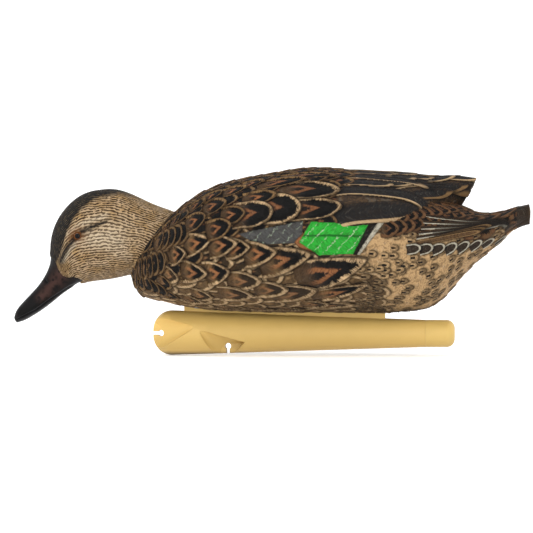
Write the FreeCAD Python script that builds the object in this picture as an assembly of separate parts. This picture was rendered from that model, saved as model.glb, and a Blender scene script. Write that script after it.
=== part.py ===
"""Floating teal decoy: a hollow moulded body, a head that turns in a socket in the breast, and a
weighted keel that is closed by a pull-off cap. One STEP file per piece goes to parts/.

Frame, in millimetres: the bill points along -X, +Z is up, and the decoy is mirror-symmetric about Y = 0.
X = 0 lies midway between the bill tip and the end of the tail, and Z = 0 is the underside of the keel."""

import FreeCAD
import Part
import math
import os
from FreeCAD import Vector

# ---- Driving dimensions ----
OVERALL_LENGTH = 330.0
END_X = OVERALL_LENGTH / 2
WALL = 2.5
# Gap between pieces that move on each other, gap of a snug fit, and how far a cutter runs past what it cuts.
RUNNING_GAP = 0.3
FIT_GAP = 0.05
OVERRUN = 5.0

# ---- Body: sections from the neck seam to the tail's end ----
# Each: top (x, z), bottom (x, z), half width, height of the widest line as a share of the half height
# above the middle, and squareness, where 2 is an ellipse.
BODY_SECTIONS = [
    ((-60.1, 91.0), (-88.0, 50.8), 24.47, 0.00, 2.0),
    ((-55.5, 94.1), (-85.3, 44.0), 33.0, -0.02, 2.0),
    ((-49.5, 98.6), (-80.5, 38.3), 41.5, -0.05, 2.1),
    ((-42.0, 103.4), (-72.0, 35.6), 48.5, -0.08, 2.15),
    ((-31.0, 108.2), (-58.0, 32.6), 55.0, -0.10, 2.2),
    ((-15.0, 112.2), (-37.0, 29.6), 60.0, -0.10, 2.2),
    ((4.0, 115.6), (-10.0, 28.3), 62.5, -0.10, 2.2),
    ((27.0, 118.6), (22.0, 28.0), 63.0, -0.10, 2.2),
    ((50.0, 117.4), (50.0, 28.0), 61.0, -0.08, 2.2),
    ((72.0, 113.6), (74.0, 27.8), 56.0, -0.04, 2.2),
    ((92.0, 106.4), (92.0, 28.8), 48.5, 0.02, 2.15),
    ((107.0, 100.4), (107.0, 33.5), 41.0, 0.12, 2.1),
    ((121.0, 95.4), (119.0, 45.7), 33.5, 0.27, 2.0),
    ((134.0, 90.4), (131.5, 59.3), 27.5, 0.42, 1.95),
    ((149.0, 91.5), (146.0, 71.2), 22.0, 0.50, 1.9),
    ((159.5, 94.2), (157.5, 81.2), 17.5, 0.45, 2.0),
    ((END_X, 95.2), (END_X, 84.0), 13.5, 0.30, 2.2),
]
CAVITY_SECTIONS = slice(2, 13)
POINTS_ROUND = 28

# ---- Folded wings, wrapped over the back and standing clear of the rump: sections in the same form ----
WING_SECTIONS = [
    ((36.0, 116.0), (36.0, 74.0), 54.0, -0.30, 1.8),
    ((50.0, 117.6), (50.0, 67.0), 59.6, -0.32, 1.85),
    ((72.0, 116.4), (72.0, 68.0), 54.5, -0.26, 1.8),
    ((92.0, 115.0), (92.0, 76.0), 41.5, -0.20, 1.7),
    ((104.0, 113.5), (104.0, 86.0), 26.0, -0.15, 1.7),
    ((118.0, 113.5), (115.0, 92.0), 14.0, 0.00, 1.7),
    ((131.6, 112.0), (122.4, 95.4), 6.0, 0.10, 1.8),
]

# ---- Neck socket: a round seam on a slanted plane, and the axis that the head turns about ----
SEAM_TOP = BODY_SECTIONS[0][0]
SEAM_BOTTOM = BODY_SECTIONS[0][1]
SEAM_RADIUS = BODY_SECTIONS[0][2]
SEAM_CENTRE = Vector((SEAM_TOP[0] + SEAM_BOTTOM[0]) / 2, 0, (SEAM_TOP[1] + SEAM_BOTTOM[1]) / 2)
SEAM_UP = Vector(SEAM_TOP[0] - SEAM_BOTTOM[0], 0, SEAM_TOP[1] - SEAM_BOTTOM[1]).normalize()
TURN_AXIS = Vector(-SEAM_UP.z, 0, SEAM_UP.x)
SOCKET_BORE = 18.0
SOCKET_OUTER = 20.5
SOCKET_DEPTH = 27.0
SOCKET_FLOOR = 2.5
SNAP_GROOVE_DEPTH = (13.6, 18.4)
SNAP_GROOVE_RADIUS = 19.3
SPIGOT_BORE = 13.5
SPIGOT_LENGTH = 22.0
SNAP_BEAD_DEPTH = (14.2, 17.8)
SNAP_BEAD_RADIUS = 18.8
FINGER_SLOTS = 4
FINGER_SLOT_WIDTH = 3.0
FINGER_SLOT_START = 11.0
NECK_RING_DEPTH = 6.5
NECK_RING_SECTION = 1.0
TURN_LIMIT_DEG = 35.0
STOP_PLAY_DEG = 1.5
STOP_TAB_WIDTH = 6.0
STOP_TAB_HEIGHT = 1.8
STOP_TAB_ROOT = 0.5

# ---- Head and bill: sections from the neck seam to the bill tip, in the same form as the body's ----
HEAD_SECTIONS = [
    (SEAM_TOP, SEAM_BOTTOM, SEAM_RADIUS, 0.00, 2.0),
    ((-71.3, 94.9), (-90.6, 51.2), 23.3, 0.00, 2.0),
    ((-80.0, 98.6), (-96.5, 50.0), 22.3, -0.03, 2.0),
    ((-97.8, 105.5), (-106.4, 48.3), 20.8, -0.08, 2.1),
    ((-108.0, 105.6), (-112.2, 47.6), 20.2, -0.08, 2.1),
    ((-118.5, 103.2), (-117.3, 46.8), 19.6, -0.08, 2.15),
    ((-127.5, 97.3), (-121.0, 46.2), 18.6, -0.06, 2.15),
    ((-134.4, 89.3), (-123.4, 45.4), 16.8, -0.05, 2.1),
    ((-138.9, 80.0), (-125.6, 44.2), 14.5, -0.10, 2.1),
    ((-140.8, 70.2), (-127.8, 42.8), 12.0, -0.15, 2.1),
    ((-141.0, 61.2), (-131.2, 40.6), 10.0, -0.15, 2.1),
    ((-143.8, 52.4), (-135.4, 37.6), 8.9, -0.10, 2.2),
    ((-148.6, 44.8), (-140.4, 33.6), 8.7, -0.10, 2.3),
    ((-154.2, 38.6), (-147.4, 28.4), 9.1, -0.10, 2.3),
    ((-159.6, 32.8), (-153.8, 24.4), 9.3, -0.10, 2.4),
    ((-163.4, 27.8), (-159.2, 21.6), 7.8, -0.05, 2.3),
    ((-END_X, 24.2), (-163.0, 20.2), 4.2, 0.00, 2.0),
]
HEAD_CAVITY_SECTIONS = slice(2, 9)
NECK_THROAT = 16.0
EYE_CENTRE = (-120.4, 76.0)
EYE_SEAT_Y = 16.9
EYE_DISC_RADIUS = 3.1
EYE_DISC_THICKNESS = 1.5
EYE_DOME_HEIGHT = 1.4

# ---- Keel: a tapered tube, a web up to a foot plate in the belly, and two keyholes for the anchor line ----
KEEL_Z = 14.3
KEEL_NOSE_X = -74.3
KEEL_NOSE_RADIUS = 14.3
KEEL_NOSE_ROUND = 12.0
KEEL_REAR_X = 99.9
KEEL_REAR_RADIUS = 8.65
KEEL_WALL = 2.2
KEEL_CAVITY_X = -12.0
WEB_X = (-54.4, 73.9)
WEB_HALF = 2.5
FOOT_HALF = 12.5
FOOT_Z = (32.2, 34.7)
GASKET_TOP = 35.5
RECESS_MARGIN = 1.5
FLOOR_Z = (20.0, 38.5)
LINE_HOLE_RADIUS = 2.0
LINE_SLOT_WIDTH = 2.2
LINE_CUT = 20.0
TAB_HALF = 3.0
TAB_X = ((KEEL_NOSE_X, -58.0), (-38.0, -17.0))
FRONT_EYE = (-69.4, 14.0)
REAR_EYE = (-26.2, 5.9)
# Valleys pressed into each side towards a keyhole: apex (x, y, z), mouth (x, y, z), mouth radius.
VALLEYS = [
    ((-45.0, 14.6, 18.6), (-78.0, 12.6, 13.4), 14.2),
    ((-44.0, 14.8, 16.6), (-22.2, 10.4, -0.8), 12.3),
]
VALLEY_TIP_RADIUS = 0.3

# ---- Cap, seal and sand charge at the rear of the keel ----
SPIGOT_X = 112.0
CAP_BORE = 7.2
CAP_BORE_END = 112.6
CAP_START_X = 100.0
CAP_END_X = 118.0
CAP_ROUND = 5.2
NECK_BORE = 5.2
SEAL_X = 105.0
SEAL_SECTION = 0.75
SAND_END_X = 92.0
SAND_GAP = 0.1
BUNG_THICKNESS = 6.0

# ---- Screws through the foot plate into bosses in the body ----
SCREW_X = (-44.0, 9.75, 63.5)
SCREW_Y = 8.0
SCREW_RADIUS = 1.5
SCREW_HEAD_RADIUS = 3.2
SCREW_HEAD_HEIGHT = 2.0
SCREW_TOP = 45.5
SCREW_CLEARANCE = 0.2
CROSS_LONG = 1.8
CROSS_NARROW = 0.4
CROSS_DEPTH = 1.2
BOSS_RADIUS = 4.2
BOSS_Z = (30.0, 48.5)


def section_wire(section, inset=0.0):
    """Closed outline of one section: a superellipse about the chord from its top to its bottom point."""
    (top_x, top_z), (low_x, low_z), half_width, widest, squareness = section
    top = Vector(top_x, 0, top_z)
    low = Vector(low_x, 0, low_z)
    middle = (top + low) / 2
    half = (top - low).Length / 2
    up = (top - low).normalize()
    rise = widest * half
    half -= inset
    width = half_width - inset
    points = []
    for i in range(POINTS_ROUND):
        angle = 2 * math.pi * i / POINTS_ROUND
        across = math.copysign(abs(math.sin(angle)) ** (2 / squareness), math.sin(angle))
        along = math.copysign(abs(math.cos(angle)) ** (2 / squareness), math.cos(angle))
        reach = half - rise if along > 0 else half + rise
        points.append(middle + up * (rise + reach * along) + Vector(0, width * across, 0))
    curve = Part.BSplineCurve()
    curve.interpolate(points, PeriodicFlag=True)
    return Part.Wire([curve.toShape()])


def loft(sections, inset=0.0):
    return Part.makeLoft([section_wire(s, inset) for s in sections], True, False)


def cylinder(radius, start, direction, length):
    return Part.makeCylinder(radius, length, start, direction)


def box(x, y, z):
    """Box from three (low, high) pairs."""
    size = [high - low for low, high in (x, y, z)]
    return Part.makeBox(*size, Vector(x[0], y[0], z[0]))


def joined(shapes):
    return shapes[0].fuse(shapes[1:]).removeSplitter()


def mirrored(shape):
    return shape.mirror(Vector(0, 0, 0), Vector(0, 1, 0))


def turned(profile, axis_z):
    """Solid of revolution about the line Z = axis_z along X. Profile points are (x, radius)."""
    points = [Vector(x, 0, axis_z + r) for x, r in profile]
    wire = Part.makePolygon(points + points[:1])
    return Part.Face(wire).revolve(Vector(0, 0, axis_z), Vector(1, 0, 0), 360)


def socket_ring(outer, inner, start, end):
    """Ring about the turn axis, from depth start to depth end behind the seam."""
    inward = TURN_AXIS * -1
    at = SEAM_CENTRE + inward * start
    ring = cylinder(outer, at, inward, end - start)
    return ring.cut(cylinder(inner, at, inward, end - start)) if inner else ring


def stop_tab(half_angle, clearance=0.0):
    """Sector of the spigot's end ring, on the upper side, that limits how far the head turns."""
    ring = socket_ring(
        SOCKET_BORE - RUNNING_GAP + clearance,
        SPIGOT_BORE - clearance,
        SPIGOT_LENGTH - STOP_TAB_ROOT,
        SPIGOT_LENGTH + STOP_TAB_HEIGHT + clearance,
    )
    reach = 2 * SOCKET_BORE
    origin = SEAM_CENTRE - TURN_AXIS * SPIGOT_LENGTH
    depth = TURN_AXIS * OVERRUN
    corners = [Vector(0, 0, 0)]
    steps = 6
    for i in range(steps + 1):
        angle = math.radians(half_angle) * (2 * i / steps - 1)
        corners.append(SEAM_UP * reach * math.cos(angle) + Vector(0, reach * math.sin(angle), 0))
    wire = Part.makePolygon([origin - depth + c for c in corners + corners[:1]])
    return ring.common(Part.Face(wire).extrude(depth * 2))


def make_body_shell():
    outside = loft(BODY_SECTIONS).fuse(loft(WING_SECTIONS))
    inside = loft(BODY_SECTIONS[CAVITY_SECTIONS], WALL)
    margin = RECESS_MARGIN + WALL
    recess_x = (WEB_X[0] - RECESS_MARGIN, WEB_X[1] + RECESS_MARGIN)
    recess_y = FOOT_HALF + RECESS_MARGIN
    floor = box((WEB_X[0] - margin, WEB_X[1] + margin), (-recess_y - WALL, recess_y + WALL), FLOOR_Z)
    bosses = [cylinder(BOSS_RADIUS, Vector(x, y, BOSS_Z[0]), Vector(0, 0, 1), BOSS_Z[1] - BOSS_Z[0])
              for x in SCREW_X for y in (-SCREW_Y, SCREW_Y)]
    socket_boss = socket_ring(SOCKET_OUTER + WALL, 0, -OVERRUN, SOCKET_DEPTH + WALL)
    inside = inside.cut([floor, socket_boss] + bosses)
    recess = box(recess_x, (-recess_y, recess_y), (FLOOR_Z[0], GASKET_TOP))
    pilot_depth = SCREW_TOP + RUNNING_GAP - BOSS_Z[0]
    pilots = [cylinder(SCREW_RADIUS + FIT_GAP, Vector(x, y, BOSS_Z[0]), Vector(0, 0, 1), pilot_depth)
              for x in SCREW_X for y in (-SCREW_Y, SCREW_Y)]
    socket_hole = socket_ring(SOCKET_OUTER, 0, -OVERRUN, SOCKET_DEPTH)
    return outside.cut([inside, recess, socket_hole] + pilots)


def make_neck_socket():
    cup = socket_ring(SOCKET_OUTER, 0, 0, SOCKET_DEPTH)
    bore = socket_ring(SOCKET_BORE, 0, -OVERRUN, SOCKET_DEPTH - SOCKET_FLOOR - STOP_TAB_HEIGHT)
    groove = socket_ring(SNAP_GROOVE_RADIUS, 0, *SNAP_GROOVE_DEPTH)
    tab_half_angle = math.degrees(STOP_TAB_WIDTH / 2 / SPIGOT_BORE)
    stop_slot = stop_tab(tab_half_angle + TURN_LIMIT_DEG + STOP_PLAY_DEG, clearance=RUNNING_GAP)
    return cup.cut([bore, groove, stop_slot])


def make_head_shell():
    behind_seam = socket_ring(2 * SEAM_RADIUS, 0, -RUNNING_GAP, SOCKET_DEPTH)
    head = loft(HEAD_SECTIONS).cut(behind_seam)
    spigot = socket_ring(SOCKET_BORE - FIT_GAP, 0, -RUNNING_GAP - WALL, SPIGOT_LENGTH)
    bead = socket_ring(SNAP_BEAD_RADIUS, 0, *SNAP_BEAD_DEPTH)
    tab = stop_tab(math.degrees(STOP_TAB_WIDTH / 2 / SPIGOT_BORE))
    cavity = loft(HEAD_SECTIONS[HEAD_CAVITY_SECTIONS], WALL)
    throat = socket_ring(SPIGOT_BORE, 0, -NECK_THROAT, SPIGOT_LENGTH + OVERRUN)
    body = head.fuse([spigot, bead]).cut([cavity, throat])
    ring_radius = SOCKET_BORE - FIT_GAP - NECK_RING_SECTION
    ring_groove = Part.makeTorus(ring_radius, NECK_RING_SECTION + FIT_GAP,
                                 SEAM_CENTRE - TURN_AXIS * NECK_RING_DEPTH, TURN_AXIS)
    on_axis = FreeCAD.Placement(SEAM_CENTRE, FreeCAD.Rotation(Vector(0, 0, 1), TURN_AXIS))
    slots = []
    for i in range(FINGER_SLOTS):
        slot = box((-FINGER_SLOT_WIDTH / 2, FINGER_SLOT_WIDTH / 2),
                   (SPIGOT_BORE - WALL, SNAP_BEAD_RADIUS + WALL),
                   (-SPIGOT_LENGTH - OVERRUN, -FINGER_SLOT_START))
        slot.rotate(Vector(0, 0, 0), Vector(0, 0, 1), (i + 0.5) * 360 / FINGER_SLOTS)
        slot.Placement = on_axis.multiply(slot.Placement)
        slots.append(slot)
    eye_seats = [cylinder(EYE_DISC_RADIUS + FIT_GAP, Vector(EYE_CENTRE[0], side * EYE_SEAT_Y, EYE_CENTRE[1]),
                          Vector(0, side, 0), OVERRUN) for side in (-1, 1)]
    return body.cut([ring_groove] + slots + eye_seats).fuse(tab)


def make_eye(side):
    """Domed bead: a disc that sits in the head, under a shallow cap of a sphere."""
    base = Vector(EYE_CENTRE[0], side * EYE_SEAT_Y, EYE_CENTRE[1])
    out = Vector(0, side, 0)
    disc = cylinder(EYE_DISC_RADIUS, base, out, EYE_DISC_THICKNESS)
    radius = (EYE_DISC_RADIUS ** 2 + EYE_DOME_HEIGHT ** 2) / (2 * EYE_DOME_HEIGHT)
    centre = base + out * (EYE_DISC_THICKNESS + EYE_DOME_HEIGHT - radius)
    dome = Part.makeSphere(radius, centre).common(cylinder(EYE_DISC_RADIUS, base, out, OVERRUN))
    return disc.fuse(dome).removeSplitter()


def make_neck_ring():
    radius = SOCKET_BORE - FIT_GAP - NECK_RING_SECTION
    centre = SEAM_CENTRE - TURN_AXIS * NECK_RING_DEPTH
    return Part.makeTorus(radius, NECK_RING_SECTION, centre, TURN_AXIS)


def keel_radius(x):
    """Outer radius of the keel's taper at x."""
    start = KEEL_NOSE_X + KEEL_NOSE_ROUND
    share = (x - start) / (KEEL_REAR_X - start)
    return KEEL_NOSE_RADIUS + (KEEL_REAR_RADIUS - KEEL_NOSE_RADIUS) * share


def keel_tube():
    """Taper with a rounded nose and a reduced spigot at the rear, as one turned solid."""
    flat = KEEL_NOSE_RADIUS - KEEL_NOSE_ROUND
    centre_x = KEEL_NOSE_X + KEEL_NOSE_ROUND
    tip = Vector(KEEL_NOSE_X, 0, KEEL_Z)
    corner = Vector(KEEL_NOSE_X, 0, KEEL_Z + flat)
    half_way = Vector(centre_x - KEEL_NOSE_ROUND * math.sqrt(0.5), 0,
                      KEEL_Z + flat + KEEL_NOSE_ROUND * math.sqrt(0.5))
    shoulder = Vector(centre_x, 0, KEEL_Z + KEEL_NOSE_RADIUS)
    rest = [shoulder, Vector(KEEL_REAR_X, 0, KEEL_Z + KEEL_REAR_RADIUS),
            Vector(KEEL_REAR_X, 0, KEEL_Z + CAP_BORE - FIT_GAP),
            Vector(SPIGOT_X, 0, KEEL_Z + CAP_BORE - FIT_GAP), Vector(SPIGOT_X, 0, KEEL_Z), tip]
    edges = [Part.LineSegment(tip, corner).toShape(), Part.Arc(corner, half_way, shoulder).toShape()]
    edges += [Part.LineSegment(a, b).toShape() for a, b in zip(rest, rest[1:])]
    return Part.Face(Part.Wire(edges)).revolve(Vector(0, 0, KEEL_Z), Vector(1, 0, 0), 360)


def keel_cavity(gap=0.0, end_x=SPIGOT_X + 1):
    """Space inside the tube for the sand, open at the rear through the spigot."""
    narrow = NECK_BORE - gap
    wide_end = keel_radius(SAND_END_X) - KEEL_WALL - gap
    profile = [(KEEL_CAVITY_X + gap, 0), (KEEL_CAVITY_X + gap, keel_radius(KEEL_CAVITY_X) - KEEL_WALL - gap),
               (SAND_END_X, wide_end)]
    if end_x > SAND_END_X:
        profile += [(SAND_END_X + wide_end - narrow, narrow), (end_x, narrow), (end_x, 0)]
    else:
        profile += [(SAND_END_X, 0)]
    return turned(profile, KEEL_Z)


def keyhole(centre, outward, length):
    """Round hole through the keel with a slot that runs out along outward."""
    x, z = centre
    hole = cylinder(LINE_HOLE_RADIUS, Vector(x, -LINE_CUT, z), Vector(0, 1, 0), 2 * LINE_CUT)
    side = LINE_SLOT_WIDTH / 2
    if outward.x:
        slot = box((x - length, x), (-LINE_CUT, LINE_CUT), (z - side, z + side))
    else:
        slot = box((x - side, x + side), (-LINE_CUT, LINE_CUT), (z - length, z))
    return hole.fuse(slot)


def valley_cutters():
    cutters = []
    for apex, mouth, radius in VALLEYS:
        start = Vector(*apex)
        run = Vector(*mouth) - start
        cone = Part.makeCone(VALLEY_TIP_RADIUS, radius, run.Length, start, run)
        cutters += [cone, mirrored(cone)]
    return cutters


def make_keel_shell():
    web = box(WEB_X, (-WEB_HALF, WEB_HALF), (KEEL_Z, FOOT_Z[0]))
    foot = box(WEB_X, (-FOOT_HALF, FOOT_HALF), FOOT_Z)
    hole = SCREW_RADIUS + SCREW_CLEARANCE
    holes = [cylinder(hole, Vector(x, y, FOOT_Z[0] - 1), Vector(0, 0, 1), OVERRUN)
             for x in SCREW_X for y in (-SCREW_Y, SCREW_Y)]
    seal_groove = Part.makeTorus(CAP_BORE - FIT_GAP - SEAL_SECTION, SEAL_SECTION + FIT_GAP,
                                 Vector(SEAL_X, 0, KEEL_Z), Vector(1, 0, 0))
    front = keyhole(FRONT_EYE, Vector(-1, 0, 0), LINE_CUT)
    rear = keyhole(REAR_EYE, Vector(0, 0, -1), LINE_CUT)
    tabs = [keel_tube().common(box(x, (-TAB_HALF, TAB_HALF), (-1, 2 * KEEL_NOSE_RADIUS)))
            for x in TAB_X]
    tube = keel_tube().cut(valley_cutters()).fuse(tabs)
    return tube.fuse([web, foot]).cut([keel_cavity(), front, rear, seal_groove] + holes)


def make_keel_end_cap():
    """Cup that slides over the keel's rear spigot, with a rounded end."""
    start = CAP_START_X
    side = KEEL_REAR_RADIUS
    centre_x = CAP_END_X - CAP_ROUND
    low = KEEL_Z + side - CAP_ROUND
    points = [Vector(start, 0, KEEL_Z + CAP_BORE), Vector(start, 0, KEEL_Z + side),
              Vector(centre_x, 0, KEEL_Z + side)]
    bend = Vector(centre_x + CAP_ROUND * math.sqrt(0.5), 0, low + CAP_ROUND * math.sqrt(0.5))
    end = Vector(CAP_END_X, 0, low)
    tail = [end, Vector(CAP_END_X, 0, KEEL_Z), Vector(CAP_BORE_END, 0, KEEL_Z),
            Vector(CAP_BORE_END, 0, KEEL_Z + CAP_BORE), points[0]]
    edges = [Part.LineSegment(a, b).toShape() for a, b in zip(points, points[1:])]
    edges.append(Part.Arc(points[-1], bend, end).toShape())
    edges += [Part.LineSegment(a, b).toShape() for a, b in zip(tail, tail[1:])]
    return Part.Face(Part.Wire(edges)).revolve(Vector(0, 0, KEEL_Z), Vector(1, 0, 0), 360)


def make_cap_seal():
    radius = CAP_BORE - FIT_GAP - SEAL_SECTION
    return Part.makeTorus(radius, SEAL_SECTION, Vector(SEAL_X, 0, KEEL_Z), Vector(1, 0, 0))


def make_ballast_bung():
    start = SPIGOT_X - 1.0 - BUNG_THICKNESS
    return cylinder(NECK_BORE - FIT_GAP, Vector(start, 0, KEEL_Z), Vector(1, 0, 0), BUNG_THICKNESS)


def make_keel_gasket():
    plate = box(WEB_X, (-FOOT_HALF, FOOT_HALF), (FOOT_Z[1], GASKET_TOP))
    hole = SCREW_RADIUS + SCREW_CLEARANCE
    return plate.cut([cylinder(hole, Vector(x, y, FOOT_Z[1] - 1), Vector(0, 0, 1), OVERRUN)
                      for x in SCREW_X for y in (-SCREW_Y, SCREW_Y)])


def make_keel_screws():
    """Pan-head screws with a cross recess, as one group of separate solids."""
    screws = []
    for x in SCREW_X:
        for y in (-SCREW_Y, SCREW_Y):
            low = FOOT_Z[0] - SCREW_HEAD_HEIGHT
            head = cylinder(SCREW_HEAD_RADIUS, Vector(x, y, low), Vector(0, 0, 1), SCREW_HEAD_HEIGHT)
            shank = cylinder(SCREW_RADIUS, Vector(x, y, FOOT_Z[0]), Vector(0, 0, 1), SCREW_TOP - FOOT_Z[0])
            cross = [box((x - a, x + a), (y - b, y + b), (low - 1, low + CROSS_DEPTH))
                     for a, b in ((CROSS_LONG, CROSS_NARROW), (CROSS_NARROW, CROSS_LONG))]
            screws.append(head.fuse(shank).cut(cross))
    return Part.makeCompound(screws)


PARTS = {
    "body_shell": make_body_shell,
    "neck_socket": make_neck_socket,
    "head_shell": make_head_shell,
    "neck_friction_ring": make_neck_ring,
    "left_eye": lambda: make_eye(-1),
    "right_eye": lambda: make_eye(1),
    "keel_shell": make_keel_shell,
    "keel_sand_ballast": lambda: keel_cavity(gap=SAND_GAP, end_x=SAND_END_X),
    "ballast_bung": make_ballast_bung,
    "keel_end_cap": make_keel_end_cap,
    "cap_seal": make_cap_seal,
    "keel_gasket": make_keel_gasket,
    "keel_screws": make_keel_screws,
}

os.makedirs("parts", exist_ok=True)
for name, make in PARTS.items():
    shape = make()
    assert shape.isValid() and shape.Volume > 0, name
    shape.exportStep(f"parts/{name}.step")
    bounds = shape.BoundBox
    print(f"{name:20s} solids {len(shape.Solids)}  {shape.Volume / 1000:8.2f} cm3  "
          f"x {bounds.XMin:7.2f} {bounds.XMax:7.2f}  y {bounds.YMin:6.2f} {bounds.YMax:6.2f}  "
          f"z {bounds.ZMin:6.2f} {bounds.ZMax:6.2f}")
print(f"turn axis {TURN_AXIS.x:.4f} {TURN_AXIS.z:.4f}, centre {SEAM_CENTRE.x:.3f} {SEAM_CENTRE.z:.3f}")
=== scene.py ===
"""Looks of the floating teal decoy: carved and painted plumage, head, bill, eyes, keel and cap.

Each new surface is a closed grid laid over the part's own shape. Feathers are laid one by one, from the
tail forwards, as relief in the grid and as values that the paint reads. Tables are in millimetres."""

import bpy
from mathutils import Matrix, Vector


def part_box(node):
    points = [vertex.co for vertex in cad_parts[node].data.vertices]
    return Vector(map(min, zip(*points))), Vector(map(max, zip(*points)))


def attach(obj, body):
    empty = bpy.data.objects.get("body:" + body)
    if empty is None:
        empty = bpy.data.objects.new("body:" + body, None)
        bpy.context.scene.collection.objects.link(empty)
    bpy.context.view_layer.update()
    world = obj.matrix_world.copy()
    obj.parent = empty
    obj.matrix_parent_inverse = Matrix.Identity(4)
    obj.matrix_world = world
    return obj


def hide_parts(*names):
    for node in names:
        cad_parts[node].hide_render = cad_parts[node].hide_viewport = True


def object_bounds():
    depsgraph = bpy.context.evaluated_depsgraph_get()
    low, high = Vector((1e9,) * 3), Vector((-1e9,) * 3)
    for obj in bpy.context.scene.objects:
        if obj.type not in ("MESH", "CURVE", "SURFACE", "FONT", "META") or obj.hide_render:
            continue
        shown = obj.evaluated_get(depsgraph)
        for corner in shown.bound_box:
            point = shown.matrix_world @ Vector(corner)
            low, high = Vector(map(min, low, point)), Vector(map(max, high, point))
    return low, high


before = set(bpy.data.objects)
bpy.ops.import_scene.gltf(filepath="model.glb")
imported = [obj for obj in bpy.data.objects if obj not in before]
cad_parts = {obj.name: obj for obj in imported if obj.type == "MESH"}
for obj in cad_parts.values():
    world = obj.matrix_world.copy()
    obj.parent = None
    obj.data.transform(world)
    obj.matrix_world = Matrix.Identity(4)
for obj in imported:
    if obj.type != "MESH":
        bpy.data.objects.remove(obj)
START_BOX = [list(corner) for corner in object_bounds()]

import math
from types import SimpleNamespace

import bpy
import numpy as np

random = np.random.default_rng(11)
HALF_LENGTH = 165.0
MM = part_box("body_shell")[1].x / HALF_LENGTH    # one millimetre in metres

# ---- Shapes ----
# Each row: top (x, z), bottom (x, z), half width, how far the widest line lies above the middle as a share
# of half the height, and squareness, where 2 is an ellipse.
BODY_SECTIONS = [
    (-60.1, 91.0, -88.0, 50.8, 24.47, 0.00, 2.0),
    (-55.5, 94.1, -85.3, 44.0, 33.0, -0.02, 2.0),
    (-49.5, 98.6, -80.5, 38.3, 41.5, -0.05, 2.1),
    (-42.0, 103.4, -72.0, 35.6, 48.5, -0.08, 2.15),
    (-31.0, 108.2, -58.0, 32.6, 55.0, -0.10, 2.2),
    (-15.0, 112.2, -37.0, 29.6, 60.0, -0.10, 2.2),
    (4.0, 115.6, -10.0, 28.3, 62.5, -0.10, 2.2),
    (27.0, 118.6, 22.0, 28.0, 63.0, -0.10, 2.2),
    (50.0, 117.4, 50.0, 28.0, 61.0, -0.08, 2.2),
    (72.0, 113.6, 74.0, 27.8, 56.0, -0.04, 2.2),
    (92.0, 106.4, 92.0, 28.8, 48.5, 0.02, 2.15),
    (107.0, 100.4, 107.0, 33.5, 41.0, 0.12, 2.1),
    (121.0, 95.4, 119.0, 45.7, 33.5, 0.27, 2.0),
    (134.0, 90.4, 131.5, 59.3, 27.5, 0.42, 1.95),
    (149.0, 91.5, 146.0, 71.2, 22.0, 0.50, 1.9),
    (159.5, 94.2, 157.5, 81.2, 17.5, 0.45, 2.0),
    (165.0, 95.2, 165.0, 84.0, 13.5, 0.30, 2.2),
]
WING_SECTIONS = [
    (36.0, 116.0, 36.0, 74.0, 54.0, -0.30, 1.8),
    (50.0, 117.6, 50.0, 67.0, 59.6, -0.32, 1.85),
    (72.0, 116.4, 72.0, 68.0, 54.5, -0.26, 1.8),
    (92.0, 115.0, 92.0, 76.0, 41.5, -0.20, 1.7),
    (104.0, 113.5, 104.0, 86.0, 26.0, -0.15, 1.7),
    (118.0, 113.5, 115.0, 92.0, 14.0, 0.00, 1.7),
    (131.6, 112.0, 122.4, 95.4, 6.0, 0.10, 1.8),
]
HEAD_SECTIONS = [
    (-60.4, 91.2, -88.3, 51.0, 24.4, 0.00, 2.0),
    (-71.3, 94.9, -90.6, 51.2, 23.3, 0.00, 2.0),
    (-80.0, 98.6, -96.5, 50.0, 22.3, -0.03, 2.0),
    (-97.8, 105.5, -106.4, 48.3, 20.8, -0.08, 2.1),
    (-108.0, 105.6, -112.2, 47.6, 20.2, -0.08, 2.1),
    (-118.5, 103.2, -117.3, 46.8, 19.6, -0.08, 2.15),
    (-127.5, 97.3, -121.0, 46.2, 18.6, -0.06, 2.15),
    (-134.4, 89.3, -123.4, 45.4, 16.8, -0.05, 2.1),
    (-138.9, 80.0, -125.6, 44.2, 14.5, -0.10, 2.1),
    (-140.8, 70.2, -127.8, 42.8, 12.0, -0.15, 2.1),
    (-141.0, 61.2, -131.2, 40.6, 10.0, -0.15, 2.1),
    (-143.8, 52.4, -135.4, 37.6, 8.9, -0.10, 2.2),
    (-148.6, 44.8, -140.4, 33.6, 8.7, -0.10, 2.3),
    (-154.2, 38.6, -147.4, 28.4, 9.1, -0.10, 2.3),
    (-159.6, 32.8, -153.8, 24.4, 9.3, -0.10, 2.4),
    (-163.4, 27.8, -159.2, 21.6, 7.8, -0.05, 2.3),
    (-164.8, 24.2, -163.0, 20.4, 4.2, 0.00, 2.0),
]
EYE = (-120.4, 76.0)
RINGS = {"body": 560, "wing": 190, "head": 290, "plume": 260, "bill": 200}
AROUND = {"body": 700, "wing": 500, "head": 330}
BODY_SEGMENTS = 5
SHARP_ANGLE = 62

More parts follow.
